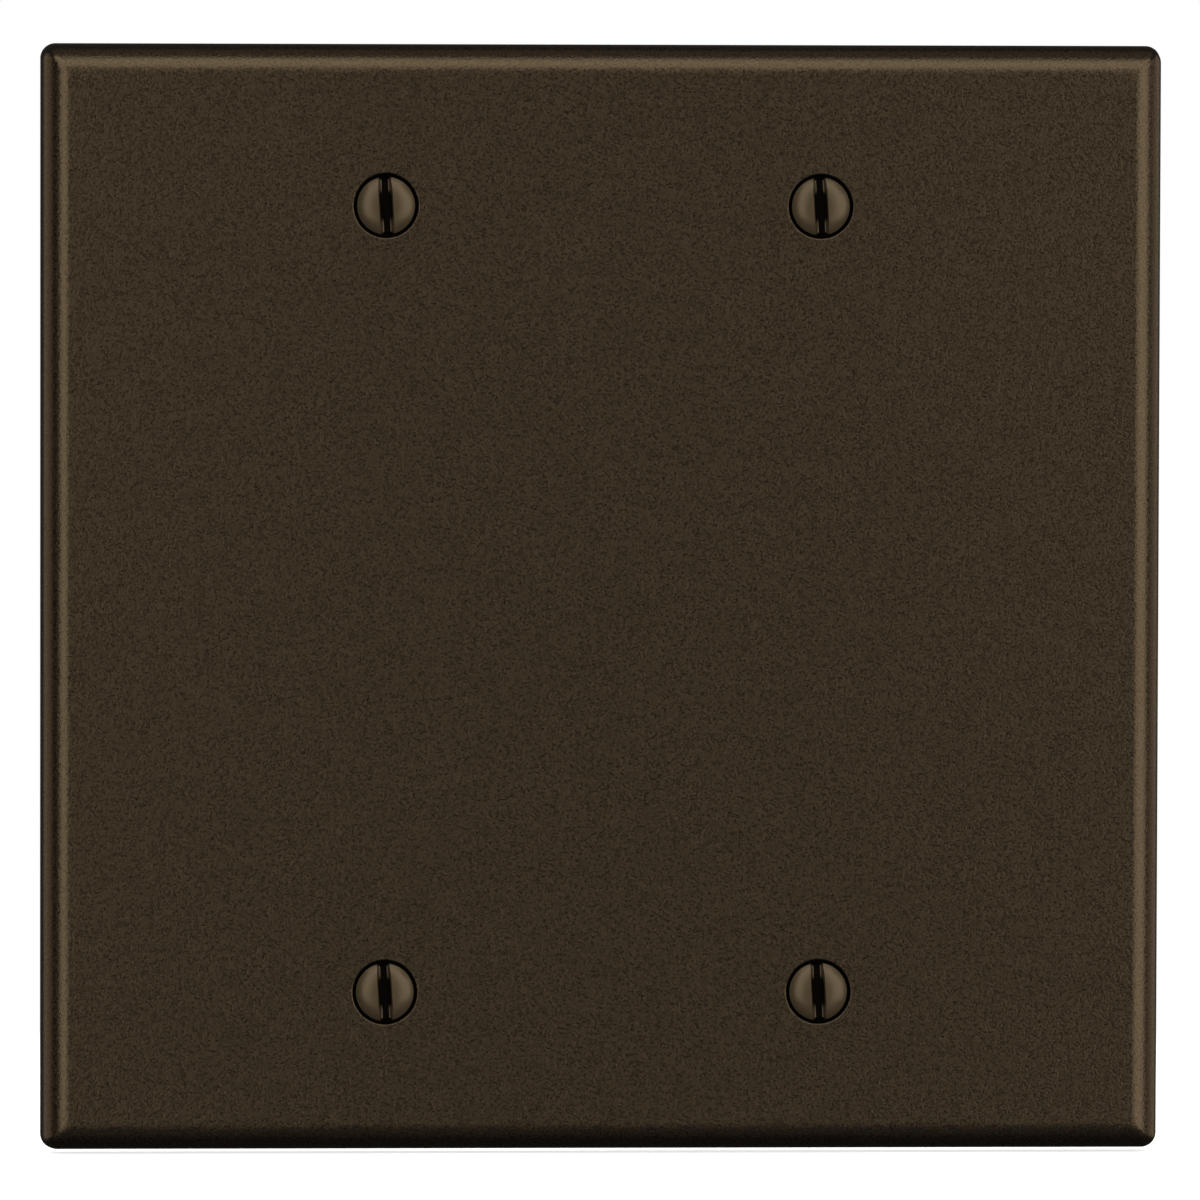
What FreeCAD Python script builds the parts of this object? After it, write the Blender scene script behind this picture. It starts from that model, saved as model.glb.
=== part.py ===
import FreeCAD, Part
import math
import os

import Sketcher
from FreeCAD import Placement, Rotation, Vector

# Two-gang blank wall plate with four captive oval-head screws.
# Row frame: +X right and +Z up seen from the front, the front face looks to -Y,
# the wall is the plane y = 0 and the origin is the centre of the plate on it.

# Named sizes in millimetres; draft, sink_half and slot_tilt are in degrees.
SIZES = {
    "plate_width": 119.06,
    "plate_height": 117.475,
    "plate_depth": 5.6,
    "corner_round": 1.6,
    "draft": 4.0,
    "edge_round": 2.95,
    "edge_overlap": 0.002,
    "wall_thick": 2.2,
    "hollow_depth": 3.3,
    "hollow_round": 1.2,
    "rib_width": 1.0,
    "rib_height": 0.9,
    "boss_radius": 5.0,
    "boss_height": 0.5,
    "gang_spacing": 46.04,
    "row_spacing": 83.34,
    "hole_radius": 2.0,
    "sink_radius": 3.35,
    "sink_half": 41.0,
    "lip_round": 0.16,
    "shoulder_radius": 3.42,
    "shoulder_depth": 1.1,
    "rim_level": 5.385,
    "seat_gap": 0.05,
    "dome_height": 0.62,
    "slot_top": 1.42,
    "slot_floor": 0.95,
    "slot_depth": 0.95,
    "slot_tilt": 3.2,
    "neck_radius": 1.25,
    "crest_radius": 1.7526,
    "root_radius": 1.266,
    "thread_pitch": 0.79375,
    "thread_start": 0.05,
    "lead_in": 0.4,
    "screw_length": 19.05,
    "tip_radius": 1.22,
    "tip_taper": 0.5,
    "retainer_bore": 1.30,
    "retainer_radius": 3.55,
    "retainer_thick": 0.5,
    "retainer_gap": 0.1,
}

# Column and row signs of the four screws.
CORNERS = {
    "upper_left": (-1, 1),
    "upper_right": (1, 1),
    "lower_left": (-1, -1),
    "lower_right": (1, -1),
}

MARGIN = "1"
# Distance from the outline at the wall to the centre line of the edge rounding,
# which overlaps the drafted wall very slightly so that the two faces cross.
EDGE_X = "((edge_round + (plate_depth - edge_round) * sin(draft)) / cos(draft) - edge_overlap)"

doc = FreeCAD.newDocument("wall_plate_cover")
sheet = doc.addObject("Spreadsheet::Sheet", "sizes")


def fill_sheet():
    for row, (name, value) in enumerate(SIZES.items(), start=1):
        sheet.set(f"A{row}", name)
        sheet.set(f"B{row}", repr(value))
        sheet.setAlias(f"B{row}", name)
    doc.recompute()


def bound(text):
    """Expression with every size name pointed at the spreadsheet."""
    for name in sorted(SIZES, key=len, reverse=True):
        text = text.replace(name, f"sizes.@{name}@")
    return text.replace("@", "")


def value(text):
    return float(sheet.evalExpression(bound(text).replace("sizes.", "")))


def tie(item, prop, text):
    item.setExpression(prop, bound(text))


def new_body(label):
    body = doc.addObject("PartDesign::Body", label)
    body.Label = label
    return body


def new_sketch(body, name, role, offset=None):
    """Sketch on one of the body's own origin planes, moved by offset."""
    plane = next(f for f in body.Origin.OriginFeatures if f.Role == role)
    sketch = body.newObject("Sketcher::SketchObject", name)
    sketch.AttachmentSupport = [(plane, "")]
    sketch.MapMode = "FlatFace"
    if offset is not None:
        sketch.AttachmentOffset = offset
    return sketch


def fix_point(sketch, geo, pos, axis, text, label):
    """Hold one coordinate of a sketch point at an expression."""
    if text == "0":
        line = -2 if axis == "X" else -1
        sketch.addConstraint(Sketcher.Constraint("PointOnObject", geo, pos, line))
        return
    index = sketch.addConstraint(
        Sketcher.Constraint(f"Distance{axis}", -1, 1, geo, pos, value(text))
    )
    sketch.renameConstraint(index, label)
    tie(sketch, f"Constraints.{label}", text)


def arc_between(start, end, radius):
    """Arc from start to end; a positive radius turns counterclockwise."""
    chord = end - start
    middle = (start + end) * 0.5
    rise = math.sqrt(max(radius * radius - chord.Length ** 2 / 4, 0.0))
    side = Vector(-chord.y, chord.x, 0).normalize()
    centre = middle + side * (rise if radius > 0 else -rise)
    circle = Part.Circle(centre, Vector(0, 0, 1), abs(radius))
    first, last = (start, end) if radius > 0 else (end, start)
    return Part.ArcOfCircle(circle, circle.parameter(first), circle.parameter(last))


def draw_loop(sketch, corners, arcs=None):
    """Closed outline through corners; arcs maps an edge number to (turn, radius)."""
    arcs = arcs or {}
    tag = sketch.GeometryCount
    points = [Vector(value(x), value(y), 0) for x, y in corners]
    ends = []
    for i, start in enumerate(points):
        end = points[(i + 1) % len(points)]
        if i in arcs:
            turn, radius = arcs[i]
            geo = sketch.addGeometry(arc_between(start, end, turn * value(radius)), False)
            ends.append((geo, 1, 2) if turn > 0 else (geo, 2, 1))
            index = sketch.addConstraint(Sketcher.Constraint("Radius", geo, value(radius)))
            sketch.renameConstraint(index, f"radius_{geo}")
            tie(sketch, f"Constraints.radius_{geo}", radius)
        else:
            geo = sketch.addGeometry(Part.LineSegment(start, end), False)
            ends.append((geo, 1, 2))
    for i, (geo, first, last) in enumerate(ends):
        after = ends[(i + 1) % len(ends)]
        sketch.addConstraint(Sketcher.Constraint("Coincident", geo, last, after[0], after[1]))
        fix_point(sketch, geo, first, "X", corners[i][0], f"across_{tag}_{i}")
        fix_point(sketch, geo, first, "Y", corners[i][1], f"along_{tag}_{i}")


def draw_box(sketch, low_x, high_x, low_y, high_y):
    draw_loop(sketch, [(low_x, low_y), (high_x, low_y), (high_x, high_y), (low_x, high_y)])


def draw_round_box(sketch, half_x, half_y, radius):
    """Rectangle about the sketch origin with rounded corners."""
    in_x, in_y = f"({half_x} - {radius})", f"({half_y} - {radius})"
    corners = [
        (f"-{in_x}", f"-({half_y})"), (in_x, f"-({half_y})"),
        (half_x, f"-{in_y}"), (half_x, in_y),
        (in_x, half_y), (f"-{in_x}", half_y),
        (f"-({half_x})", in_y), (f"-({half_x})", f"-{in_y}"),
    ]
    draw_loop(sketch, corners, {edge: (1, radius) for edge in (1, 3, 5, 7)})


def draw_circle(sketch, x, y, radius):
    centre = Vector(value(x), value(y), 0)
    geo = sketch.addGeometry(Part.Circle(centre, Vector(0, 0, 1), value(radius)), False)
    index = sketch.addConstraint(Sketcher.Constraint("Radius", geo, value(radius)))
    sketch.renameConstraint(index, f"radius_{geo}")
    tie(sketch, f"Constraints.radius_{geo}", radius)
    fix_point(sketch, geo, 3, "X", x, f"across_{geo}")
    fix_point(sketch, geo, 3, "Y", y, f"along_{geo}")


def screw_places():
    """Screw axes as (x, z) expressions on the wall plane."""
    for column, row in CORNERS.values():
        yield f"{column} * gang_spacing / 2", f"{row} * row_spacing / 2"


def pad(body, name, sketch, length, rearward=False):
    feature = body.newObject("PartDesign::Pad", name)
    feature.Profile = sketch
    feature.Reversed = rearward
    tie(feature, "Length", length)
    return feature


def pocket_forward(body, name, sketch, length):
    """Pocket from a wall-plane sketch towards the front."""
    feature = body.newObject("PartDesign::Pocket", name)
    feature.Profile = sketch
    feature.Reversed = True
    tie(feature, "Length", length)
    return feature


def pocket_across(body, name, sketch):
    """Pocket that runs right through the body on both sides of its sketch."""
    feature = body.newObject("PartDesign::Pocket", name)
    feature.Profile = sketch
    feature.Type = "ThroughAll"
    feature.SideType = "Symmetric"
    return feature


def depth_offset(level):
    """Offset of a wall-plane sketch to level millimetres in front of the wall."""
    return Placement(Vector(0, 0, level), Rotation())


def round_edges(body, name, role, half, swap):
    """Round the two long front edges on either side of one middle plane."""
    for number, side in enumerate((1, -1), start=1):
        sketch = new_sketch(body, f"{name}_{number}_profile", role)
        inner = f"{side} * ({half} - {EDGE_X})"
        outer = f"{side} * ({half} + {MARGIN})"
        wall = f"{side} * ({half} - {EDGE_X} + edge_round * cos(draft))"
        level = "-(plate_depth - edge_round + edge_round * sin(draft))"
        front = f"-(plate_depth + {MARGIN})"
        corners = [
            (inner, "-plate_depth"), (wall, level), (outer, level), (outer, front), (inner, front)
        ]
        turn = side
        if swap:
            corners = [(y, x) for x, y in corners]
            turn = -side
        draw_loop(sketch, corners, {0: (turn, "edge_round")})
        pocket_across(body, f"{name}_{number}", sketch)


def add_ribs(body):
    """Low stiffening ribs behind the face, crossing at the screw lines."""
    level = value("hollow_depth")
    half_x = "(plate_width / 2 - wall_thick / 2)"
    half_z = "(plate_height / 2 - wall_thick / 2)"
    for i in (-1, 0, 1):
        uprights = new_sketch(body, f"upright_{i + 2}_profile", "XZ_Plane", depth_offset(level))
        tie(uprights, "AttachmentOffset.Base.z", "hollow_depth")
        x = f"{i} * gang_spacing / 2"
        draw_box(uprights, f"{x} - rib_width / 2", f"{x} + rib_width / 2", f"-{half_z}", half_z)
        pad(body, f"upright_{i + 2}", uprights, "rib_height", rearward=True)
        crosses = new_sketch(body, f"cross_{i + 2}_profile", "XZ_Plane", depth_offset(level))
        tie(crosses, "AttachmentOffset.Base.z", "hollow_depth")
        z = f"{i} * row_spacing / 2"
        draw_box(crosses, f"-{half_x}", half_x, f"{z} - rib_width / 2", f"{z} + rib_width / 2")
        pad(body, f"cross_{i + 2}", crosses, "rib_height", rearward=True)


def add_bosses(body):
    """Flat round pads behind the screw holes, with the ribs cleared from them."""
    sketch = new_sketch(body, "boss_profile", "XZ_Plane", depth_offset(value("hollow_depth")))
    tie(sketch, "AttachmentOffset.Base.z", "hollow_depth")
    for x, z in screw_places():
        draw_circle(sketch, x, z, "boss_radius")
    pad(body, "bosses", sketch, "boss_height", rearward=True)
    clearing = new_sketch(body, "clearing_profile", "XZ_Plane")
    for x, z in screw_places():
        draw_circle(clearing, x, z, "boss_radius")
    pocket_forward(body, "clearings", clearing, "hollow_depth - boss_height")


def add_screw_hole(body, label, column, row):
    """Clearance hole with an 82 degree countersink below a shoulder with a rounded lip."""
    x, z = f"{column} * gang_spacing / 2", f"{row} * row_spacing / 2"
    sketch = new_sketch(body, f"hole_{label}_profile", "XY_Plane", depth_offset(value(z)))
    tie(sketch, "AttachmentOffset.Base.z", z)
    sink = "(sink_radius - hole_radius) / tan(sink_half)"
    corners = [
        (x, MARGIN),
        (x, f"-plate_depth - {MARGIN}"),
        (f"{x} + shoulder_radius + lip_round", f"-plate_depth - {MARGIN}"),
        (f"{x} + shoulder_radius + lip_round", "-plate_depth"),
        (f"{x} + shoulder_radius", "-plate_depth + lip_round"),
        (f"{x} + shoulder_radius", "-plate_depth + shoulder_depth"),
        (f"{x} + sink_radius - shoulder_depth * tan(sink_half)",
         "-plate_depth + shoulder_depth"),
        (f"{x} + hole_radius", f"-plate_depth + {sink}"),
        (f"{x} + hole_radius", MARGIN),
    ]
    draw_loop(sketch, corners, {3: (1, "lip_round")})
    groove = body.newObject("PartDesign::Groove", f"hole_{label}")
    groove.Profile = sketch
    groove.ReferenceAxis = (sketch, ["Edge1"])
    groove.Angle = 360


def build_plate():
    body = new_body("cover_plate")
    outline = new_sketch(body, "outline", "XZ_Plane")
    draw_round_box(outline, "plate_width / 2", "plate_height / 2", "corner_round")
    blank = pad(body, "blank", outline, "plate_depth")
    tie(blank, "TaperAngle", "-draft")
    round_edges(body, "side_rounding", "XY_Plane", "plate_width / 2", False)
    round_edges(body, "end_rounding", "YZ_Plane", "plate_height / 2", True)
    hollow = new_sketch(body, "hollow_outline", "XZ_Plane")
    draw_round_box(
        hollow, "plate_width / 2 - wall_thick", "plate_height / 2 - wall_thick", "hollow_round"
    )
    pocket_forward(body, "hollow", hollow, "hollow_depth")
    add_ribs(body)
    add_bosses(body)
    for label, (column, row) in CORNERS.items():
        add_screw_hole(body, label, column, row)
    return body


def place_on_axis(body, column, row):
    tie(body, "Placement.Base.x", f"{column} * gang_spacing / 2")
    tie(body, "Placement.Base.z", f"{row} * row_spacing / 2")


def turn_screw_blank(body):
    """Domed head, 82 degree cone, relieved neck and plain thread blank."""
    sketch = new_sketch(body, "screw_profile", "XY_Plane")
    rim = "(sink_radius - (plate_depth - rim_level + seat_gap) * tan(sink_half))"
    neck = "(-(plate_depth + seat_gap) + (sink_radius - neck_radius) / tan(sink_half))"
    tip = "(screw_length - rim_level)"
    corners = [
        ("0", "-(rim_level + dome_height)"),
        (rim, "-rim_level"),
        ("neck_radius", neck),
        ("neck_radius", "-thread_start"),
        ("crest_radius", "-thread_start + lead_in"),
        ("crest_radius", f"{tip} - tip_taper"),
        ("tip_radius", tip),
        ("0", tip),
    ]
    dome = f"({rim} * {rim} + dome_height * dome_height) / (2 * dome_height)"
    draw_loop(sketch, corners, {0: (1, dome)})
    blank = body.newObject("PartDesign::Revolution", "screw_blank")
    blank.Profile = sketch
    blank.ReferenceAxis = (sketch, ["V_Axis"])
    blank.Angle = 360


def cut_thread(body):
    """Right-hand thread groove, run in from beyond the tip and out at the neck."""
    sketch = new_sketch(body, "thread_profile", "XY_Plane")
    level = "(screw_length - rim_level + 1)"
    flat = "thread_pitch / 8"
    mouth = "(thread_pitch / 8 + (crest_radius + 0.2 - root_radius) * tan(30))"
    corners = [
        ("root_radius", f"{level} - {flat}"),
        ("crest_radius + 0.2", f"{level} - {mouth}"),
        ("crest_radius + 0.2", f"{level} + {mouth}"),
        ("root_radius", f"{level} + {flat}"),
    ]
    draw_loop(sketch, corners)
    thread = body.newObject("PartDesign::SubtractiveHelix", "thread")
    thread.Profile = sketch
    thread.ReferenceAxis = (sketch, ["V_Axis"])
    thread.Mode = 0
    thread.Reversed = True
    tie(thread, "Pitch", "thread_pitch")
    tie(thread, "Height", f"{level} + thread_start + thread_pitch")


def cut_slot(body):
    """Driver slot across the head, leaning a little to the left at its top."""
    tilt = Placement(Vector(), Rotation(Vector(0, 1, 0), -value("slot_tilt")))
    sketch = new_sketch(body, "slot_profile", "XY_Plane", tilt)
    crown = "(rim_level + dome_height)"
    flare = "(slot_top - slot_floor) / 2 / slot_depth"
    outer = f"(slot_top / 2 + {flare} * {MARGIN})"
    corners = [
        ("-slot_floor / 2", f"-{crown} + slot_depth"),
        (f"-{outer}", f"-{crown} - {MARGIN}"),
        (outer, f"-{crown} - {MARGIN}"),
        ("slot_floor / 2", f"-{crown} + slot_depth"),
    ]
    draw_loop(sketch, corners)
    pocket_across(body, "slot", sketch)


def build_screw(label, column, row):
    body = new_body(f"screw_{label}")
    turn_screw_blank(body)
    cut_thread(body)
    cut_slot(body)
    place_on_axis(body, column, row)
    return body


def build_retainer(label, column, row):
    """Thin washer that keeps the loosened screw in the plate."""
    body = new_body(f"retainer_{label}")
    sketch = new_sketch(body, "ring_profile", "XZ_Plane", depth_offset(value("retainer_gap")))
    tie(sketch, "AttachmentOffset.Base.z", "retainer_gap")
    draw_circle(sketch, "0", "0", "retainer_radius")
    draw_circle(sketch, "0", "0", "retainer_bore")
    pad(body, "ring", sketch, "retainer_thick")
    place_on_axis(body, column, row)
    return body


def check_states():
    for item in doc.Objects:
        if {"Invalid", "Error"} & set(item.State):
            raise RuntimeError(f"{item.Label}: {item.State}")


def export(bodies):
    os.makedirs("parts", exist_ok=True)
    for body in bodies:
        shape = body.Shape
        if shape.isNull() or not shape.isValid() or len(shape.Solids) != 1:
            raise RuntimeError(f"{body.Label}: not one valid solid")
        shape.exportStep(f"parts/{body.Label}.step")


def main():
    fill_sheet()
    bodies = [build_plate()]
    for label, (column, row) in CORNERS.items():
        bodies.append(build_retainer(label, column, row))
        bodies.append(build_screw(label, column, row))
    doc.recompute()
    check_states()
    export(bodies)


main()
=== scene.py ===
import logging
import math
from contextlib import contextmanager
from dataclasses import dataclass
from enum import Enum
from itertools import pairwise
from typing import Any, Callable, Iterator, Sequence

import bmesh
import bpy
from mathutils import Matrix, Quaternion, Vector


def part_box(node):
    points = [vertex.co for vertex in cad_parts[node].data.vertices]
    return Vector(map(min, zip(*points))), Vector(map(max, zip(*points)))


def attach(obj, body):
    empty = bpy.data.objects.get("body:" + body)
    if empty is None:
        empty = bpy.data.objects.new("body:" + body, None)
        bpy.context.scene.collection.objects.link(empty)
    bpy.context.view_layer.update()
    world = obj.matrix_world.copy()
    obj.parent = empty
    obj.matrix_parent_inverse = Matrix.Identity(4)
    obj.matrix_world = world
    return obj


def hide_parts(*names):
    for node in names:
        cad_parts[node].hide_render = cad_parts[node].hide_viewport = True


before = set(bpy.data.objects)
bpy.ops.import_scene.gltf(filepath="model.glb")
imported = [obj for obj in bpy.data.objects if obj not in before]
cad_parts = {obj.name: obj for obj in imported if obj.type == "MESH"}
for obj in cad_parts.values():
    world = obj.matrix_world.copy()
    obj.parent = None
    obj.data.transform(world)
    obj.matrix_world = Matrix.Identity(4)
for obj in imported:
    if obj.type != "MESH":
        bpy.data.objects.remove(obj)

log = logging.getLogger("wall_plate_cover")

MM = 0.001
CORNERS = ("upper_left", "upper_right", "lower_left", "lower_right")
SLOT_DEPTH = "slot_depth"
SINK_DEPTH = "sink_depth"
WARM = (1.0, 0.84, 0.64)
MIX_FACTOR, MIX_FIRST, MIX_SECOND, MIX_RESULT = 0, 6, 7, 2
WELD = 0.0005
SMOOTH_ANGLE = 32
Point = tuple[float, float]
Colour = tuple[float, float, float, float]


# ---------------------------------------------------------------- finishes


class Sock:
    """A shader socket that can be used in Python arithmetic."""

    def __init__(self, graph: "Graph", socket: bpy.types.NodeSocket) -> None:
        """Wraps a socket.

        Args:
            graph: The graph that the socket belongs to.
            socket: The node output to wrap.
        """
        self.graph = graph
        self.socket = socket

    def _with(self, operation: str, first: Any, second: Any = 0.0) -> "Sock":
        """Adds one Math node and returns its output."""
        settings = {"operation": operation}
        return self.graph.node("ShaderNodeMath", settings, {0: first, 1: second})

    def __add__(self, other: Any) -> "Sock":
        """Sum of the socket and a number or socket."""
        return self._with("ADD", self, other)

    def __sub__(self, other: Any) -> "Sock":
        """The socket less a number or socket."""
        return self._with("SUBTRACT", self, other)

    def __rsub__(self, other: Any) -> "Sock":
        """A number or socket less this socket."""
        return self._with("SUBTRACT", other, self)

    def __mul__(self, other: Any) -> "Sock":
        """Product of the socket and a number or socket."""
        return self._with("MULTIPLY", self, other)

    def __truediv__(self, other: Any) -> "Sock":
        """The socket divided by a number or socket."""
        return self._with("DIVIDE", self, other)

    __radd__ = __add__
    __rmul__ = __mul__

    def size(self) -> "Sock":
        """The socket without its sign."""
        return self._with("ABSOLUTE", self)

    def clamped(self) -> "Sock":
        """The socket held between 0 and 1."""
        held = self._with("MAXIMUM", self, 0.0)
        return self._with("MINIMUM", held, 1.0)


class Graph:
    """The node graph of one material."""

    def __init__(self, name: str) -> None:
        """Starts an empty material.

        Args:
            name: The material's name.
        """
        self.material = bpy.data.materials.new(name)
        self.material.use_nodes = True
        self.tree = self.material.node_tree
        self.tree.nodes.clear()

    def node(
        self,
        kind: str,
        settings: dict[str, Any] | None = None,
        inputs: dict[int | str, Any] | None = None,
        out: int | str = 0,
    ) -> Sock | None:
        """Adds a node, sets it up and wires its inputs.

        Args:
            kind: Blender's node type.
            settings: Node properties, set first.
            inputs: Values or sockets by input name or number.
            out: The output to return.

        Returns:
            The chosen output, ready for arithmetic, or None for a node without one.
        """
        made = self.tree.nodes.new(kind)
        for key, value in (settings or {}).items():
            setattr(made, key, value)
        for key, value in (inputs or {}).items():
            if isinstance(value, Sock):
                self.tree.links.new(value.socket, made.inputs[key])
            else:
                made.inputs[key].default_value = value
        outputs = made.outputs
        return Sock(self, outputs[out]) if len(outputs) else None

    def place(self) -> Sock:
        """The piece's own coordinates, in metres."""
        return self.node("ShaderNodeTexCoord", out="Object")

    def noise(self, place: Sock, size: float, detail: float = 2.0, rough: float = 0.5) -> Sock:
        """Soft noise between 0 and 1.

        Args:
            place: The coordinates to read.
            size: The grain's size in metres.
            detail: The number of finer layers.
            rough: How strong the finer layers are.

        Returns:
            The noise value.
        """
        inputs = {"Vector": place, "Scale": 1.0 / size, "Detail": detail, "Roughness": rough}
        return self.node("ShaderNodeTexNoise", {"noise_dimensions": "3D"}, inputs, "Fac")

    def blend(self, factor: Any, first: Any, second: Any) -> Sock:
        """Mixes two colours by a factor."""
        settings = {"data_type": "RGBA", "blend_type": "MIX"}
        inputs = {MIX_FACTOR: factor, MIX_FIRST: first, MIX_SECOND: second}
        return self.node("ShaderNodeMix", settings, inputs, MIX_RESULT)

    def bump(self, height: Sock, distance: float, strength: float) -> Sock:
        """Normal from a height, with its distance in metres."""
        inputs = {"Strength": strength, "Distance": distance, "Height": height}
        return self.node("ShaderNodeBump", None, inputs, "Normal")

    def shader(self, inputs: dict[str, Any]) -> Sock:
        """A Principled shader with the given values or sockets by name."""
        return self.node("ShaderNodeBsdfPrincipled", None, inputs, "BSDF")

    def mix_shaders(self, factor: Sock, first: Sock, second: Sock) -> Sock:
        """Mixes two shaders by a factor."""
        return self.node("ShaderNodeMixShader", None, {0: factor, 1: first, 2: second})

    def finish(self, shader: Sock) -> bpy.types.Material:
        """Ends the graph in a shader and returns the material."""
        self.node("ShaderNodeOutputMaterial", None, {"Surface": shader})
        return self.material

    def surface(self, inputs: dict[str, Any]) -> bpy.types.Material:
        """Ends the graph in one Principled surface.

        Args:
            inputs: The surface's values or sockets by name.

        Returns:
            The finished material.
        """
        return self.finish(self.shader(inputs))


def grey(value: float) -> Colour:
    """Opaque neutral colour."""
    return (value, value, value, 1.0)


@dataclass(frozen=True)
class MouldedBrown:
    """Hard dark brown moulded plastic with a fine, slightly sandy skin."""

    dark: Colour = (0.0009, 0.0007, 0.0006, 1.0)
    light: Colour = (0.0074, 0.0058, 0.0045, 1.0)
    dull_dark: Colour = (0.0150, 0.0112, 0.0080, 1.0)
    dull_light: Colour = (0.0265, 0.0200, 0.0142, 1.0)
    # Dark dull colour: painted shade inside the countersinks, also used for random dark pits in the
    # skin.
    recess: Colour = (0.0022, 0.0017, 0.0013, 1.0)
    tint: Colour = (1.0, 0.72, 0.42, 1.0)
    grain: float = 0.00021
    grain_depth: float = 0.00004
    grain_strength: float = 0.7
    cloud: float = 0.004
    rough: float = 0.20
    rough_grain: float = 0.14
    rough_back: float = 0.14
    pit_level: float = 0.64
    pit_slope: float = 1.1
    inside_x: float = 0.0574
    inside_z: float = 0.0566
    inside_y: float = -0.0035

    def make(self) -> bpy.types.Material:
        """Builds the plate's material."""
        graph = Graph("brown_moulded_plastic")
        place = graph.place()
        fine = graph.noise(place, self.grain, 1.0, 0.6)
        coarse = graph.noise(place, self.grain * 2.7, 2.0)
        cloud = graph.noise(place, self.cloud, 3.0)
        back = self._back(graph, place)
        tone = (fine * 2.2 + coarse * 0.3 + cloud * 0.3 - 0.9).clamped()
        skin = graph.blend(tone, self.dark, self.light)
        dull = graph.blend((tone * 0.4 + cloud * 0.6).clamped(), self.dull_dark, self.dull_light)
        coat = graph.shader({
            "Base Color": graph.blend(back, skin, dull),
            "Roughness": self.rough + coarse * 0.04
            + fine * self.rough_grain + back * self.rough_back,
            "Specular IOR Level": 0.62,
            "Specular Tint": self.tint,
            "Normal": graph.bump(fine + coarse * 0.15, self.grain_depth, self.grain_strength),
        })
        # Painted shade: a dark, dull, unglossy surface stands in for the shade inside the
        # countersinks (sink_depth marks); random dark pits in the skin use it too.
        sunk = graph.shader({
            "Base Color": self.recess,
            "Roughness": 0.9,
            "Specular IOR Level": 0.0,
        })
        shade = graph.node("ShaderNodeAttribute", {"attribute_name": SINK_DEPTH}, None, "Fac")
        pits = ((self.pit_level - fine) * self.pit_slope).clamped()
        shade_and_specks = (shade + pits - back * pits).clamped()
        return graph.finish(graph.mix_shaders(shade_and_specks, coat, sunk))

    def _back(self, graph: Graph, place: Sock) -> Sock:
        """Mask of the duller, unpolished skin in the hollow back.

        Args:
            graph: The material's graph.
            place: The piece's coordinates.

        Returns:
            0 on the outside and 1 in the hollow.
        """
        parts = [
            graph.node("ShaderNodeSeparateXYZ", None, {0: place}, axis) for axis in ("X", "Y", "Z")
        ]
        soft = 0.0002
        deep = ((parts[1] - self.inside_y) / soft).clamped()
        across = ((self.inside_x - parts[0].size()) / soft).clamped()
        upright = ((self.inside_z - parts[2].size()) / soft).clamped()
        return deep * across * upright


@dataclass(frozen=True)
class PaintedScrew:
    """Zinc-plated steel, painted brown over the head and its cone."""

    dark: Colour = (0.0275, 0.0196, 0.0111, 1.0)
    light: Colour = (0.0410, 0.0294, 0.0166, 1.0)
    # Painted shade for the driver slot: near black, with lighter specks.
    slot_shade_dark: Colour = (0.0009, 0.0007, 0.0006, 1.0)
    slot_shade_light: Colour = (0.0034, 0.0026, 0.0018, 1.0)
    tint: Colour = (1.0, 0.78, 0.50, 1.0)
    zinc: Colour = (0.60, 0.61, 0.60, 1.0)
    zinc_warm: Colour = (0.56, 0.54, 0.44, 1.0)
    paint_ends: float = -0.0033
    paint_wander: float = 0.0005
    paint_edge: float = 0.00008
    plating_metal: float = 0.65

    def make(self) -> bpy.types.Material:
        """Builds the screw's material."""
        graph = Graph("painted_screw")
        place = graph.place()
        depth = graph.node("ShaderNodeSeparateXYZ", None, {0: place}, "Y")
        speck = graph.noise(place, 0.00018, 3.0, 0.6)
        ripple = graph.noise(place, 0.0009, 2.0)
        edge = graph.noise(place, 0.0006, 3.0)
        past_paint = depth - self.paint_ends + (edge - 0.5) * self.paint_wander
        bare = (past_paint / self.paint_edge).clamped()
        paint = graph.blend((speck * 0.7 + ripple * 0.5 - 0.1).clamped(), self.dark, self.light)
        inside = graph.node("ShaderNodeAttribute", {"attribute_name": SLOT_DEPTH}, None, "Fac")
        zinc = graph.blend(ripple, self.zinc, self.zinc_warm)
        height = ripple * 0.8 + speck * 0.15
        coat = graph.shader({
            "Base Color": graph.blend(bare, paint, zinc),
            "Metallic": bare * self.plating_metal,
            "Roughness": 0.27 + speck * 0.08 + bare * 0.04,
            "Specular IOR Level": 0.33,
            "Specular Tint": self.tint,
            "Normal": graph.bump(height, 0.00002, 0.3),
        })
        # Painted shade: a near-black, dull, unglossy surface stands in for the shade in the driver
        # slot and a thin painted shadow line along its mouth (slot_depth marks).
        slot_shade = graph.shader({
            "Base Color": graph.blend(speck, self.slot_shade_dark, self.slot_shade_light),
            "Roughness": 0.9,
            "Specular IOR Level": 0.0,
        })
        slot_shading = (inside * 1.5 - ripple * 0.2).clamped()
        return graph.finish(graph.mix_shaders(slot_shading, coat, slot_shade))


@dataclass(frozen=True)
class Nylon:
    """Natural nylon of the retaining washers."""

    dark: Colour = (0.56, 0.54, 0.47, 1.0)
    light: Colour = (0.72, 0.70, 0.62, 1.0)

    def make(self) -> bpy.types.Material:
        """Builds the washers' material."""
        graph = Graph("natural_nylon")
        place = graph.place()
        cloud = graph.noise(place, 0.0012, 3.0)
        fine = graph.noise(place, 0.00015, 2.0)
        return graph.surface({
            "Base Color": graph.blend(cloud, self.dark, self.light),
            "Roughness": 0.42 + fine * 0.12,
            "Normal": graph.bump(fine, 0.00001, 0.3),
        })


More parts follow.
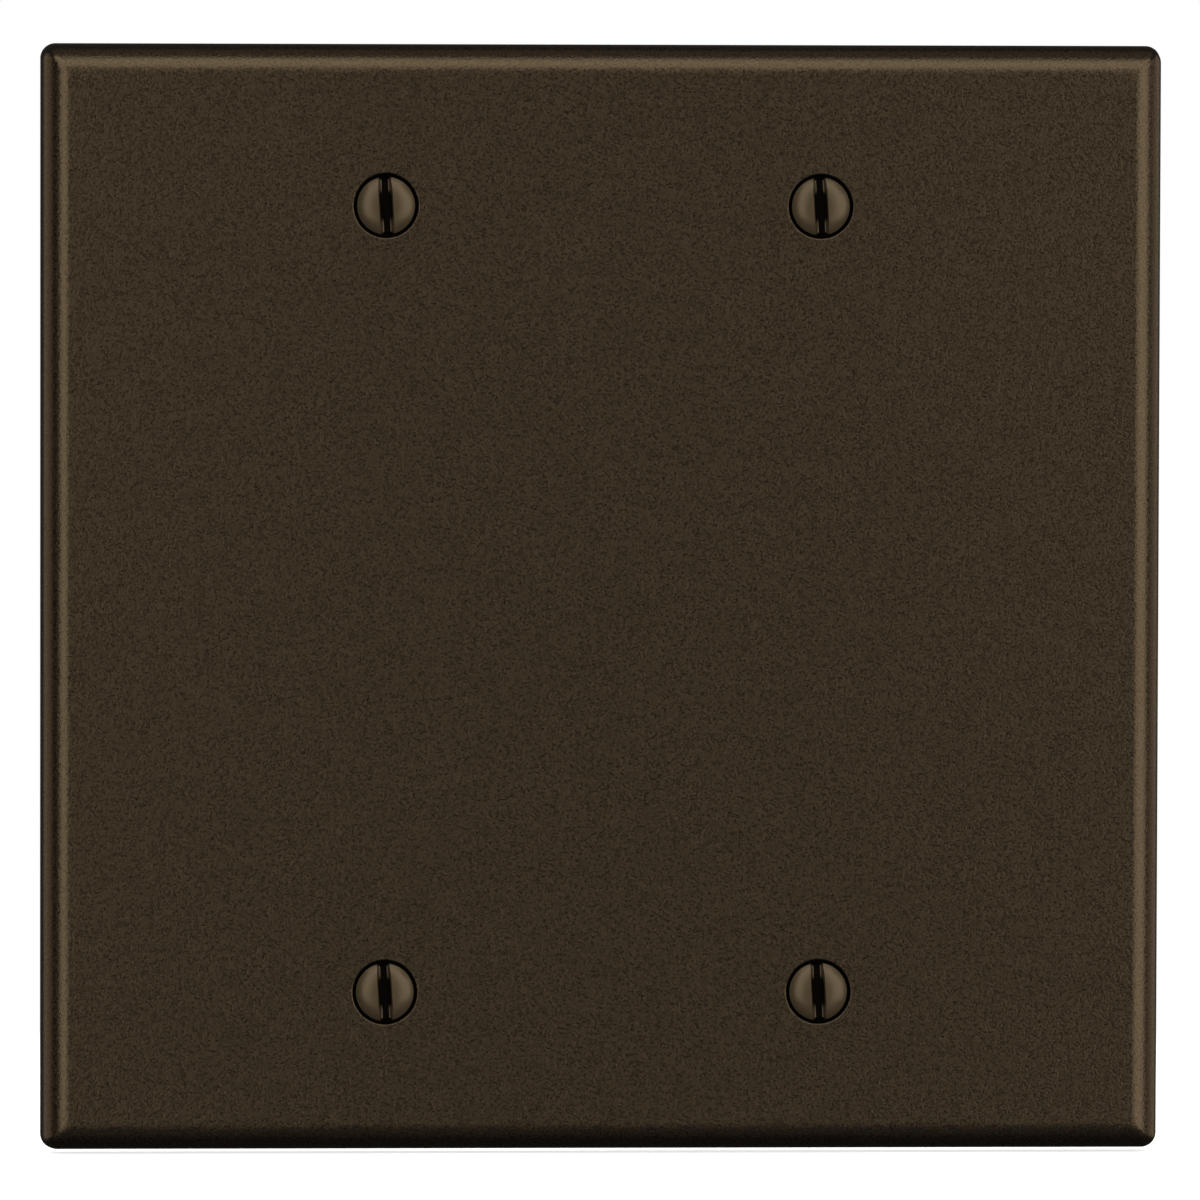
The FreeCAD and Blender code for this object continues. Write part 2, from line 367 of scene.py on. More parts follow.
@dataclass(frozen=True)
class StudioFloor:
    """Pale matt floor that fades out round its edge."""

    colour: Colour = (0.86, 0.86, 0.85, 1.0)
    glow: float = 0.68
    full: float = 0.10
    gone: float = 0.165

    def make(self) -> bpy.types.Material:
        """Builds the floor's material."""
        graph = Graph("pale_floor")
        place = graph.place()
        length = graph.node(
            "ShaderNodeVectorMath", {"operation": "LENGTH"}, {0: place}, "Value"
        )
        clear = ((length - self.full) / (self.gone - self.full)).clamped()
        solid = graph.shader({
            "Base Color": self.colour,
            "Roughness": 0.8,
            "Emission Color": grey(1.0),
            "Emission Strength": self.glow,
        })
        return graph.finish(
            graph.mix_shaders(clear, solid, graph.node("ShaderNodeBsdfTransparent"))
        )


# ---------------------------------------------------------------- bench work


class Element(Enum):
    """What a selection in edit mode is made of."""

    VERTS = (True, False, False)
    EDGES = (False, True, False)
    FACES = (False, False, True)


class Join(Enum):
    """How one solid is combined with another."""

    CUT = "DIFFERENCE"
    ADD = "UNION"
    KEEP_COMMON = "INTERSECT"


def only(piece: bpy.types.Object) -> None:
    """Makes a piece the active object and the only selected one."""
    bpy.ops.object.select_all(action="DESELECT")
    piece.select_set(True)
    bpy.context.view_layer.objects.active = piece


@contextmanager
def editing(piece: bpy.types.Object) -> Iterator[None]:
    """Opens a piece in edit mode with nothing selected, and closes it after."""
    only(piece)
    bpy.context.tool_settings.mesh_select_mode = Element.VERTS.value
    bpy.ops.object.mode_set(mode="EDIT")
    bpy.ops.mesh.select_all(action="DESELECT")
    yield
    bpy.ops.object.mode_set(mode="OBJECT")


def pick(piece: bpy.types.Object, element: Element, rule: Callable[[Any], bool]) -> int:
    """Selects the parts of the piece in edit mode that meet a rule.

    Args:
        piece: The piece that is open in edit mode.
        element: Whether to select vertices, edges or faces.
        rule: Says of each one whether it is wanted.

    Returns:
        How many were selected.
    """
    bpy.ops.mesh.select_all(action="DESELECT")
    bpy.context.tool_settings.mesh_select_mode = element.value
    mesh = bmesh.from_edit_mesh(piece.data)
    wanted = [item for item in getattr(mesh, element.name.lower()) if rule(item)]
    for item in wanted:
        item.select_set(True)
    bmesh.update_edit_mesh(piece.data)
    return len(wanted)


def shrink(across: float, upright: float) -> None:
    """Scales the selection about the middle, across and upright."""
    bpy.ops.transform.resize(value=(across, 1, upright), center_override=(0, 0, 0))


def bevel(piece: bpy.types.Object, rule: Callable[[Any], bool], width: float, steps: int) -> None:
    """Rounds the edges that meet a rule.

    Args:
        piece: The piece to work on.
        rule: Says of each edge whether it is rounded.
        width: The rounding's width in millimetres.
        steps: The number of facets across it.
    """
    with editing(piece):
        if pick(piece, Element.EDGES, rule):
            bpy.ops.mesh.bevel(
                offset=width, offset_type="OFFSET", segments=steps, profile=0.5,
                affect="EDGES", clamp_overlap=False,
            )


def block(name: str, low: Vector, high: Vector) -> bpy.types.Object:
    """A box between two corners, in millimetres, ready to be shaped.

    Args:
        name: The object's name.
        low: The lowest corner.
        high: The highest corner.

    Returns:
        The box, with its place in its mesh.
    """
    bpy.ops.object.select_all(action="DESELECT")
    bpy.ops.mesh.primitive_cube_add(size=1.0, location=(low + high) / 2)
    piece = bpy.context.active_object
    piece.name = name
    bpy.ops.transform.resize(value=high - low)
    bpy.ops.object.transform_apply(location=True, rotation=True, scale=True)
    return piece


def turned(name: str, profile: Sequence[Point], steps: int) -> bpy.types.Object:
    """Turns a chain of (radius, depth) points about the Y axis.

    Args:
        name: The object's name.
        profile: The chain, in millimetres, from one end of the axis to the other
            or round a closed section.
        steps: The number of facets in a turn.

    Returns:
        The closed turned solid.
    """
    piece = chain(name, profile)
    with editing(piece):
        bpy.ops.mesh.select_all(action="SELECT")
        bpy.ops.mesh.spin(
            steps=steps, angle=2 * math.pi, center=(0, 0, 0), axis=(0, 1, 0),
            use_auto_merge=True,
        )
        bpy.ops.mesh.select_all(action="SELECT")
        bpy.ops.mesh.remove_doubles(threshold=WELD)
        bpy.ops.mesh.normals_make_consistent(inside=False)
    return piece


def chain(name: str, profile: Sequence[Point]) -> bpy.types.Object:
    """A chain of edges through (radius, depth) points beside the Y axis."""
    bpy.ops.object.select_all(action="DESELECT")
    bpy.ops.mesh.primitive_plane_add(size=0.1, location=(0, 0, 0))
    piece = bpy.context.active_object
    piece.name = name
    with editing(piece):
        bpy.ops.mesh.select_all(action="SELECT")
        bpy.ops.mesh.merge(type="CENTER")
        bpy.ops.transform.translate(value=(profile[0][0], profile[0][1], 0))
        for last, here in pairwise(profile):
            step = (here[0] - last[0], here[1] - last[1], 0)
            bpy.ops.mesh.extrude_vertices_move(TRANSFORM_OT_translate={"value": step})
    return piece


def arc(centre: Point, radius: float, start: float, end: float, steps: int) -> list[Point]:
    """Points along an arc, with its angles in degrees."""
    angles = [math.radians(start + (end - start) * i / steps) for i in range(steps + 1)]
    return [(centre[0] + radius * math.cos(a), centre[1] + radius * math.sin(a)) for a in angles]


def moved(piece: bpy.types.Object, by: Vector) -> bpy.types.Object:
    """Moves a piece and keeps its place in its mesh."""
    only(piece)
    bpy.ops.transform.translate(value=by)
    bpy.ops.object.transform_apply(location=True, rotation=True, scale=True)
    return piece


def copied(piece: bpy.types.Object, name: str, by: Vector) -> bpy.types.Object:
    """A copy of a piece with its own mesh, moved by a step."""
    twin = piece.copy()
    twin.data = piece.data.copy()
    twin.name = name
    bpy.context.scene.collection.objects.link(twin)
    return moved(twin, by)


def combine(body: bpy.types.Object, tool: bpy.types.Object, how: Join) -> None:
    """Combines a solid with another one, which is used up."""
    only(body)
    step = body.modifiers.new(how.name.lower(), "BOOLEAN")
    step.operation = how.value
    step.solver = "EXACT"
    step.object = tool
    bpy.ops.object.modifier_apply(modifier=step.name)
    spare = tool.data
    bpy.data.objects.remove(tool)
    bpy.data.meshes.remove(spare)


def soften(piece: bpy.types.Object, width: float, angle: float, steps: int) -> None:
    """Breaks every edge sharper than an angle in degrees by a small rounding."""
    only(piece)
    step = piece.modifiers.new("broken_edges", "BEVEL")
    step.width = width
    step.segments = steps
    step.limit_method = "ANGLE"
    step.angle_limit = math.radians(angle)
    step.miter_outer = "MITER_ARC"
    step.use_clamp_overlap = True
    bpy.ops.object.modifier_apply(modifier=step.name)


def finished(piece: bpy.types.Object, material: bpy.types.Material) -> bpy.types.Object:
    """Brings a piece from millimetres to metres, smooths its shading and dresses it.

    Args:
        piece: The piece, modelled in millimetres.
        material: Its finish.

    Returns:
        The piece at the origin, unturned and unscaled.
    """
    only(piece)
    bpy.ops.transform.resize(value=(MM, MM, MM), center_override=(0, 0, 0))
    bpy.ops.object.transform_apply(location=True, rotation=True, scale=True)
    bpy.ops.object.shade_smooth_by_angle(angle=math.radians(SMOOTH_ANGLE))
    weigh = piece.modifiers.new("even_shading", "WEIGHTED_NORMAL")
    weigh.keep_sharp = True
    weigh.weight = 60
    bpy.ops.object.modifier_apply(modifier=weigh.name)
    piece.data.materials.clear()
    piece.data.materials.append(material)
    return piece


def report(piece: bpy.types.Object, body: str) -> None:
    """Logs a finished piece and the body that it rides on."""
    log.info("%s: %d faces, rides on %s", piece.name, len(piece.data.polygons), body)


# ---------------------------------------------------------------- the pieces


def box_mm(node: str) -> tuple[Vector, Vector]:
    """A node's lowest and highest corners in millimetres."""
    low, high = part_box(node)
    return low / MM, high / MM


def screw_axis(corner: str) -> Vector:
    """The point where a screw's axis meets the wall plane, in millimetres."""
    low, high = box_mm(f"retainer_{corner}")
    middle = (low + high) / 2
    return Vector((middle.x, 0, middle.z))


@dataclass
class CoverPlate:
    """The moulded plate: rounded front edge, mitred corners and ribbed hollow back."""

    draft: float = 4.0
    corner_round: float = 1.6
    edge_round: float = 2.95
    edge_steps: int = 26
    mitre_round: float = 0.5
    wall: float = 2.2
    hollow: float = 3.3
    rib_width: float = 1.0
    rib_height: float = 0.9
    boss_radius: float = 5.0
    boss_height: float = 0.5
    hole_radius: float = 2.0
    sink_radius: float = 3.35
    sink_half: float = 41.0
    shoulder_radius: float = 3.4
    shoulder_depth: float = 1.1
    lip_round: float = 0.16
    mark_radius: float = 2.4
    mark_depth: float = 0.12
    broken_edge: float = 0.07
    sharp_angle: float = 38.0
    sink_mark_ends: float = -3.4
    boss_facets: int = 96
    hole_facets: int = 128

    def __post_init__(self) -> None:
        """Takes the outer size from the frame."""
        low, high = box_mm("cover_plate")
        self.half_x = (high.x - low.x) / 2
        self.half_z = (high.z - low.z) / 2
        self.depth = high.y - low.y

    def build(self, material: bpy.types.Material) -> bpy.types.Object:
        """Models the plate and hands it over to its body.

        Args:
            material: The plate's finish.

        Returns:
            The finished plate.
        """
        plate = self._slab()
        combine(plate, self._hollow(), Join.CUT)
        for rib in self._ribs():
            combine(plate, rib, Join.ADD)
        for corner in CORNERS:
            combine(plate, moved(self._clearing(), screw_axis(corner)), Join.CUT)
            combine(plate, moved(self._boss(), screw_axis(corner)), Join.ADD)
        for corner in CORNERS:
            combine(plate, moved(self._hole_tool(), screw_axis(corner)), Join.CUT)
        for mark in self._ejector_marks():
            combine(plate, mark, Join.CUT)
        soften(plate, self.broken_edge, self.sharp_angle, 2)
        self._mark_sinks(plate)
        finished(plate, material)
        plate.name = "moulded_plate"
        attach(plate, "plate")
        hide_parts("cover_plate")
        report(plate, "plate")
        return plate

    def _slab(self) -> bpy.types.Object:
        """The plate's outer form, drawn in step by step from its rim to its face.

        The rounding's corners tighten as they rise, and end in a soft mitre.

        Returns:
            The solid slab.
        """
        lean = math.radians(self.draft)
        turn = math.pi / 2 - lean
        wall_top = self.depth - self.edge_round * (1 - math.cos(turn))
        inset = wall_top * math.tan(lean)
        piece = block(
            "slab",
            Vector((-self.half_x, -wall_top, -self.half_z)),
            Vector((self.half_x, 0, self.half_z)),
        )
        half_x, half_z, radius = self.half_x - inset, self.half_z - inset, self.corner_round
        with editing(piece):
            pick(piece, Element.FACES, lambda face: face.normal.y < -0.9)
            shrink(half_x / self.half_x, half_z / self.half_z)
        bevel(piece, lambda e: abs(e.verts[0].co.y - e.verts[1].co.y) > 1, radius, 16)
        with editing(piece):
            pick(piece, Element.FACES, lambda face: face.normal.y < -0.9)
            for step in range(self.edge_steps):
                low = turn * (1 - step / self.edge_steps)
                high = turn * (1 - (step + 1) / self.edge_steps)
                draw = self.edge_round * (math.sin(low) - math.sin(high))
                rise = self.edge_round * (math.cos(high) - math.cos(low))
                if radius - draw > self.mitre_round:
                    bpy.ops.mesh.inset(thickness=draw, depth=rise, use_even_offset=True)
                    radius -= draw
                else:
                    bpy.ops.mesh.extrude_region_move(
                        TRANSFORM_OT_translate={"value": (0, -rise, 0)}
                    )
                    shrink((half_x - draw) / half_x, (half_z - draw) / half_z)
                half_x -= draw
                half_z -= draw
        return piece

    def _hollow(self) -> bpy.types.Object:
        """The space behind the face, with eased inner corners."""
        low = Vector((self.wall - self.half_x, -self.hollow, self.wall - self.half_z))
        high = Vector((self.half_x - self.wall, 1.0, self.half_z - self.wall))
        piece = block("hollow", low, high)
        bevel(piece, lambda e: abs(e.verts[0].co.y - e.verts[1].co.y) > 1, 1.2, 8)
        floor = -self.hollow
        bevel(piece, lambda e: all(abs(v.co.y - floor) < 0.01 for v in e.verts), 0.45, 4)
        return piece

    def _ribs(self) -> Iterator[bpy.types.Object]:
        """The low ribs, each with rounded crest edges."""
        at = screw_axis("upper_right")
        crest = -self.hollow + self.rib_height
        half = self.rib_width / 2
        for share in (-1, 0, 1):
            low = Vector((share * at.x - half, -self.hollow - 0.3, self.wall / 2 - self.half_z))
            high = Vector((share * at.x + half, crest, self.half_z - self.wall / 2))
            yield self._crested(block("upright", low, high), crest)
        for share in (-1, 0, 1):
            low = Vector((self.wall / 2 - self.half_x, -self.hollow - 0.3, share * at.z - half))
            high = Vector((self.half_x - self.wall / 2, crest - 0.02, share * at.z + half))
            yield self._crested(block("cross", low, high), crest - 0.02)

    @staticmethod
    def _crested(rib: bpy.types.Object, crest: float) -> bpy.types.Object:
        """Rounds the long crest edges of a rib."""
        bevel(
            rib,
            lambda e: all(abs(v.co.y - crest) < 0.01 for v in e.verts) and e.calc_length() > 5,
            0.3, 4,
        )
        return rib

    def _clearing(self) -> bpy.types.Object:
        """The round space that keeps the ribs off a washer."""
        top = -self.hollow + self.boss_height - 0.02
        reach = self.boss_radius + 0.35
        profile = [(0, top), (reach - 0.3, top), *arc((reach - 0.3, top + 0.3), 0.3, -90, 0, 5)[1:]]
        return turned("clearing", [*profile, (reach, 0.5), (0, 0.5)], self.boss_facets)

    def _boss(self) -> bpy.types.Object:
        """The flat round pad behind a screw hole."""
        top = -self.hollow + self.boss_height
        reach = self.boss_radius
        edge = arc((reach - 0.15, top - 0.15), 0.15, 0, 90, 5)
        root = [(0, -self.hollow - 0.4), (reach + 0.3, -self.hollow - 0.4)]
        foot = arc((reach + 0.3, -self.hollow + 0.28), 0.3, -90, -180, 5)
        return turned("boss", [*root, *foot, *edge, (0, top)], self.boss_facets)

    def _hole_tool(self) -> bpy.types.Object:
        """Clearance hole, countersink and the sunk shoulder with its rounded lip."""
        slope = math.tan(math.radians(self.sink_half))
        face = -self.depth
        floor = face + self.shoulder_depth
        seat = self.sink_radius - self.shoulder_depth * slope
        narrow = face + (self.sink_radius - self.hole_radius) / slope
        reach = self.shoulder_radius
        lip = arc((reach + self.lip_round, face + self.lip_round), self.lip_round, -90, -180, 10)
        profile = [(0, face - 1), (reach + self.lip_round, face - 1), *lip, (reach, floor),
                   (seat, floor), (self.hole_radius, narrow), (self.hole_radius, 1), (0, 1)]
        return turned("hole_tool", profile, self.hole_facets)

    def _mark_sinks(self, plate: bpy.types.Object) -> None:
        """Marks the walls of the countersinks, which get a painted shade."""
        axes = [screw_axis(corner) for corner in CORNERS]
        top = self.lip_round * 0.9 - self.depth
        marks = plate.data.attributes.new(SINK_DEPTH, "FLOAT", "POINT")
        for number, vertex in enumerate(plate.data.vertices):
            x, y, z = vertex.co
            reach = min(math.hypot(x - axis.x, z - axis.z) for axis in axes)
            sunk = reach < self.shoulder_radius + 0.03 and top < y < self.sink_mark_ends
            marks.data[number].value = float(sunk)

    def _ejector_marks(self) -> Iterator[bpy.types.Object]:
        """Shallow round marks that the mould's ejector pins leave in the hollow."""
        at = screw_axis("upper_right")
        radius = self.mark_radius
        depth = -self.hollow - self.mark_depth
        spots = [(x, z) for x in (-0.5, 0.5) for z in (-0.5, 0.5)]
        spots += [(x, z) for x in (-1.72, 1.72) for z in (-0.5, 0.5)]
        for share_x, share_z in spots:
            profile = [(0, depth), (radius, depth), (radius, -self.hollow + 0.2),
                       (0, -self.hollow + 0.2)]
            yield moved(turned("mark", profile, 48), Vector((share_x * at.x, 0, share_z * at.z)))


@dataclass
class OvalScrew:
    """Slotted oval-head 6-32 screw with a relieved neck, modelled on the Y axis."""

    rim_radius: float = 3.07
    rim_level: float = 5.385
    rim_round: float = 0.03
    dome: float = 0.62
    sink_half: float = 41.0
    neck: float = 1.25
    crest: float = 1.7526
    root: float = 1.266
    pitch: float = 0.79375
    start: float = 0.05
    tip_radius: float = 1.22
    slot_mouth: float = 1.54
    slot_floor: float = 0.98
    slot_depth: float = 0.95
    slot_root: float = 0.17
    slot_tilt: float = 3.2
    slot_cuts: int = 19
    # Where the slot's painted shade fades out towards the slot's ends, and the strength of the
    # painted shadow line at its mouth.
    unshaded_from: float = 1.9
    unshaded_over: float = 0.8
    edge_line: float = 0.4
    broken_edge: float = 0.045
    sharp_angle: float = 60.0
    dome_power: int = 4
    dome_steps: int = 22
    head_facets: int = 144
    thread_facets: int = 48

    def __post_init__(self) -> None:
        """Takes the tip's place from the frame."""
        self.tip = box_mm("screw_upper_left")[1].y

    def build_all(self, material: bpy.types.Material) -> list[bpy.types.Object]:
        """Models the screw once and puts a copy at each corner.

        Args:
            material: The screws' finish.

        Returns:
            The four screws.
        """
        first = self._head()
        soften(first, self.broken_edge, self.sharp_angle, 3)
        combine(first, self._thread(), Join.ADD)
        self._mark_slot(first)
        screws = []
        for corner in CORNERS:
            piece = copied(first, f"oval_screw_{corner}", screw_axis(corner))
            finished(piece, material)
            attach(piece, f"screw_{corner}")
            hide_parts(f"screw_{corner}")
            report(piece, f"screw_{corner}")
            screws.append(piece)
        bpy.data.objects.remove(first)
        return screws

    def _head(self) -> bpy.types.Object:
        """Domed head, cone and neck, with the driver slot cut across it."""
        rim, level, top = self.rim_radius, -self.rim_level, -self.rim_level - self.dome
        edge = rim - 0.02
        radii = [edge * step / self.dome_steps for step in range(self.dome_steps + 1)]
        dome = [(r, top + self.dome * (r / edge) ** self.dome_power) for r in radii]
        half = math.radians(self.sink_half)
        under = (rim - self.rim_round * math.sin(half), level + self.rim_round * math.cos(half))
        belly = (rim - 0.006, level + 0.012)
        neck_level = level + (rim - self.neck) / math.tan(half)
        ease = 0.25
        cone_end = (self.neck + ease * math.sin(half), neck_level - ease * math.cos(half))
        neck_top = (self.neck, neck_level + ease)
        bend = (self.neck + 0.028, neck_level + 0.02)
        profile = [*dome, belly, under, cone_end, bend, neck_top, (self.neck, 0.4), (0, 0.4)]
        head = turned("screw_head", profile, self.head_facets)
        combine(head, self._slot(top), Join.CUT)
        return head

    def _slot(self, top: float) -> bpy.types.Object:
        """The flared bar that cuts the driver slot."""
        over = 1.0
        floor = top + self.slot_depth
        half = self.slot_floor / 2
        piece = block("slot", Vector((-half, top - over, -4.5)), Vector((half, floor, 4.5)))
        mouth = self.slot_mouth + (self.slot_mouth - self.slot_floor) * over / self.slot_depth
        with editing(piece):
            pick(piece, Element.FACES, lambda face: face.normal.y < -0.9)
            bpy.ops.transform.resize(
                value=(mouth / self.slot_floor, 1, 1), center_override=(0, top - over, 0)
            )
        bevel(piece, lambda e: all(abs(v.co.y - floor) < 0.01 for v in e.verts)
              and e.calc_length() > 5, self.slot_root, 5)
        with editing(piece):
            pick(piece, Element.EDGES, lambda e: e.calc_length() > 5)
            bpy.ops.mesh.subdivide(number_cuts=self.slot_cuts)
        piece.data.transform(Matrix.Rotation(math.radians(-self.slot_tilt), 4, "Y"))
        return piece

    def _mark_slot(self, screw: bpy.types.Object) -> None:
        """Marks where the slot gets a painted shade.

        The floor is fully shaded, the walls are shaded in the middle and unshaded at
        both ends, and the mouth's edges carry a thin painted shadow line.

        Args:
            screw: The screw, before it is copied to its place.
        """
        top = -self.rim_level - self.dome
        floor = top + self.slot_depth
        flat = self.slot_floor / 2 - self.slot_root + 0.03
        lean = math.radians(self.slot_tilt)
        marks = screw.data.attributes.new(SLOT_DEPTH, "FLOAT", "POINT")
        for number, vertex in enumerate(screw.data.vertices):
            x, y, z = vertex.co
            off = abs(x * math.cos(lean) + z * math.sin(lean))
            along = abs(z * math.cos(lean) - x * math.sin(lean))
            rise = (math.hypot(x, z) / self.rim_radius) ** self.dome_power
            sunk = y - top - self.dome * rise
            if off > self.slot_mouth / 2 or y > floor + 0.01 or along > self.rim_radius:
                value = 0.0
            elif y > floor - 0.01 and off < flat:
                value = 1.0
            elif sunk > 0.07:
                value = min(max((self.unshaded_from - along) / self.unshaded_over, 0.0), 1.0)
            else:
                value = self.edge_line if sunk > 0.012 else 0.0
            marks.data[number].value = value

    def _thread(self) -> bpy.types.Object:
        """Right-hand thread, cut off square and eased at both ends."""
        flank = (self.crest - self.root) * math.tan(math.radians(30))
        land = self.pitch / 4
        crest_land = self.pitch - land - 2 * flank
        low = -2 * self.pitch
        profile = [
            (self.root, low),
            (self.root, low + land),
            (self.crest, low + land + flank),
            (self.crest, low + land + flank + crest_land),
            (self.root, low + self.pitch),
        ]
        rod = chain("thread", profile)
        step = rod.modifiers.new("helix", "SCREW")
        step.axis = "Y"
        step.angle = 2 * math.pi
        step.screw_offset = self.pitch
        step.iterations = math.ceil((self.tip + 4 * self.pitch) / self.pitch)
        step.steps = step.render_steps = self.thread_facets
        step.use_merge_vertices = True
        step.merge_threshold = 0.001
        only(rod)
        bpy.ops.object.modifier_apply(modifier=step.name)
        with editing(rod):
            for place, side in ((-0.5, -1), (self.tip + 0.5, 1)):
                bpy.ops.mesh.select_all(action="SELECT")
                bpy.ops.mesh.bisect(
                    plane_co=(0, place, 0), plane_no=(0, side, 0), use_fill=True,
                    clear_outer=True, clear_inner=False,
                )
            bpy.ops.mesh.select_all(action="SELECT")
            bpy.ops.mesh.remove_doubles(threshold=WELD)
            bpy.ops.mesh.normals_make_consistent(inside=False)
        combine(rod, self._envelope(), Join.KEEP_COMMON)
        return rod

    def _envelope(self) -> bpy.types.Object:
        """The outer shape that the thread's ends are eased to."""
        wide = self.crest + 0.05
        profile = [
            (0, -self.start),
            (self.neck - 0.02, -self.start),
            (wide, -self.start + (wide - self.neck) * 0.8),
            (wide, self.tip - (wide - self.tip_radius) * 0.94),
            (self.tip_radius, self.tip),
            (0, self.tip),
        ]
        return turned("envelope", profile, 96)


@dataclass
class Retainer:
    """Thin nylon washer on the screw's neck, with rounded edges."""

    bore: float = 1.30
    edge: float = 0.09

    def __post_init__(self) -> None:
        """Takes the washer's size from the frame."""
        low, high = box_mm("retainer_upper_left")
        self.radius = (high.x - low.x) / 2
        self.front = low.y
        self.back = high.y

    def build_all(self, material: bpy.types.Material) -> list[bpy.types.Object]:
        """Models the washer once and puts a copy on each screw.

        Args:
            material: The washers' finish.

        Returns:
            The four washers.
        """
        e = self.edge
        profile = [
            *arc((self.bore + e, self.front + e), e, 180, 270, 4),
            *arc((self.radius - e, self.front + e), e, 270, 360, 4),
            *arc((self.radius - e, self.back - e), e, 0, 90, 4),
            *arc((self.bore + e, self.back - e), e, 90, 180, 4),
            (self.bore, self.front + e),
        ]
        first = turned("washer", profile, 96)
        washers = []
        for corner in CORNERS:
            piece = copied(first, f"retaining_washer_{corner}", screw_axis(corner))
            finished(piece, material)
            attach(piece, f"retainer_{corner}")
            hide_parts(f"retainer_{corner}")
            report(piece, f"retainer_{corner}")
            washers.append(piece)
        bpy.data.objects.remove(first)
        return washers


# ---------------------------------------------------------------- the studio


@dataclass(frozen=True)
class SoftBox:
    """A rectangular soft light, aimed at the plate."""

    name: str
    turn: float
    rise: float
    distance: float
    width: float
    height: float
    radiance: float
    colour: tuple[float, float, float] = (1.0, 0.985, 0.96)
    glossy: bool = True

    def place(self, target: Vector) -> bpy.types.Object:
        """Puts the light in the scene.

        Args:
            target: The point that it faces.

        Returns:
            The light.
        """
        lamp = bpy.data.lights.new(self.name, "AREA")
        lamp.shape = "RECTANGLE"
        lamp.size = self.width
        lamp.size_y = self.height
        lamp.energy = self.radiance * math.pi * self.width * self.height
        lamp.color = self.colour
        holder = bpy.data.objects.new(self.name, lamp)
        bpy.context.scene.collection.objects.link(holder)
        holder.location = target + direction(self.turn, self.rise) * self.distance
        holder.rotation_euler = (target - holder.location).to_track_quat("-Z", "Y").to_euler()
        holder.visible_camera = False
        holder.visible_glossy = self.glossy
        return holder


def direction(turn: float, rise: float) -> Vector:
    """Unit vector from the plate, in degrees to the right of its front and upwards."""
    a, b = math.radians(turn), math.radians(rise)
    return Vector((math.sin(a) * math.cos(b), -math.cos(a) * math.cos(b), math.sin(b)))


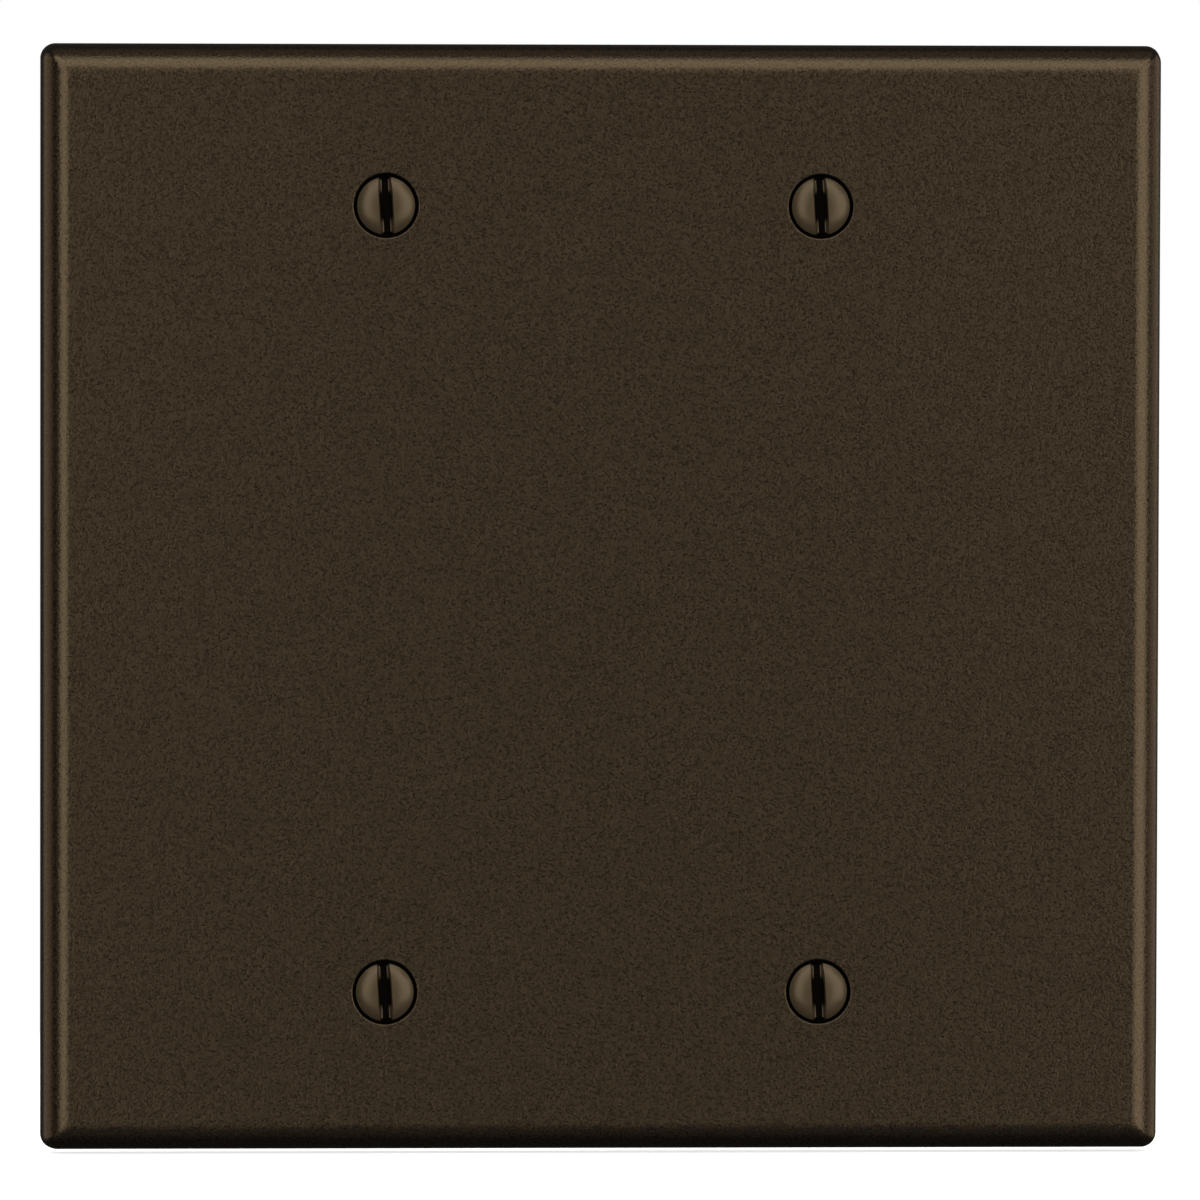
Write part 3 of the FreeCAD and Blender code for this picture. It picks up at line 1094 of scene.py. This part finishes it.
@dataclass
class Studio:
    """Camera, lights, floor and surround."""

    lens: float = 338.3
    distance: float = 1.2
    turn: float = -2.8
    rise: float = 2.75
    roll: float = 0.15
    aim_x: float = -0.00002
    aim_z: float = -0.0003
    sensor: float = 36.0
    floor_gap: float = 0.0003
    floor_radius: float = 0.17
    room: float = 0.03

    def lights(self) -> list[SoftBox]:
        """The studio's soft lights."""
        return [
            SoftBox("left_box", -26, 4, 1.8, 1.03, 1.5, 3.3),
            SoftBox("right_box", 39, 4, 1.8, 1.60, 1.5, 3.35),
            SoftBox("top_box", 0, 47.5, 1.8, 2.6, 1.34, 3.2),
            SoftBox("left_rear_box", -106, 4, 1.4, 1.40, 1.4, 0.90, WARM),
            SoftBox("right_rear_box", 106, 4, 1.4, 1.40, 1.4, 0.90, WARM),
            SoftBox("overhead", 0, 95, 1.4, 2.0, 0.9, 0.3, WARM),
            SoftBox("low_bounce", 0, -42, 1.6, 2.4, 1.1, 0.11),
            SoftBox("back_key", 150, 38, 1.8, 1.9, 1.5, 3.6, glossy=False),
            SoftBox("back_fill", -152, 20, 1.8, 1.5, 1.5, 2.2, glossy=False),
        ]

    def set_up(self) -> None:
        """Adds everything that isn't part of the object."""
        self._camera()
        middle = Vector((0, -0.003, 0))
        for light in self.lights():
            light.place(middle)
            log.info("light %s placed", light.name)
        self._floor()
        self._surround()
        bpy.context.scene.view_settings.view_transform = "Standard"

    def _camera(self) -> None:
        """Long lens, a little to the left of the front and above it."""
        data = bpy.data.cameras.new("camera")
        data.lens = self.lens
        data.sensor_width = self.sensor
        camera = bpy.data.objects.new("camera", data)
        bpy.context.scene.collection.objects.link(camera)
        aim = Vector((self.aim_x, 0, self.aim_z))
        camera.location = aim + direction(self.turn, self.rise) * self.distance
        turn = (aim - camera.location).to_track_quat("-Z", "Y")
        roll = Quaternion((0, 0, 1), math.radians(self.roll))
        camera.rotation_euler = (turn @ roll).to_euler()
        bpy.context.scene.camera = camera

    def _floor(self) -> None:
        """Round pale floor under the plate."""
        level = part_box("cover_plate")[0].z - self.floor_gap
        bpy.ops.object.select_all(action="DESELECT")
        bpy.ops.mesh.primitive_circle_add(
            vertices=96, radius=self.floor_radius, fill_type="NGON", location=(0, 0, level)
        )
        floor = bpy.context.active_object
        floor.name = "studio_floor"
        floor.data.materials.append(StudioFloor().make())
        floor.visible_diffuse = False
        floor.visible_glossy = False
        floor.visible_shadow = False

    def _surround(self) -> None:
        """White seen by the camera, and a dim room seen by everything else."""
        world = bpy.data.worlds.new("surround")
        bpy.context.scene.world = world
        world.use_nodes = True
        nodes, links = world.node_tree.nodes, world.node_tree.links
        nodes.clear()
        seen = nodes.new("ShaderNodeBackground")
        seen.inputs["Color"].default_value = (1.0, 0.998, 1.0, 1.0)
        seen.inputs["Strength"].default_value = 1.0
        room = nodes.new("ShaderNodeBackground")
        room.inputs["Color"].default_value = grey(1.0)
        room.inputs["Strength"].default_value = self.room
        path = nodes.new("ShaderNodeLightPath")
        mix = nodes.new("ShaderNodeMixShader")
        end = nodes.new("ShaderNodeOutputWorld")
        links.new(path.outputs["Is Camera Ray"], mix.inputs[0])
        links.new(room.outputs[0], mix.inputs[1])
        links.new(seen.outputs[0], mix.inputs[2])
        links.new(mix.outputs[0], end.inputs["Surface"])


def main() -> None:
    """Builds the plate, its screws, their washers and the studio, in that order."""
    logging.basicConfig(level=logging.INFO, format="%(message)s")
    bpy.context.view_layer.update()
    CoverPlate().build(MouldedBrown().make())
    OvalScrew().build_all(PaintedScrew().make())
    Retainer().build_all(Nylon().make())
    Studio().set_up()


if __name__ == "__main__":
    main()
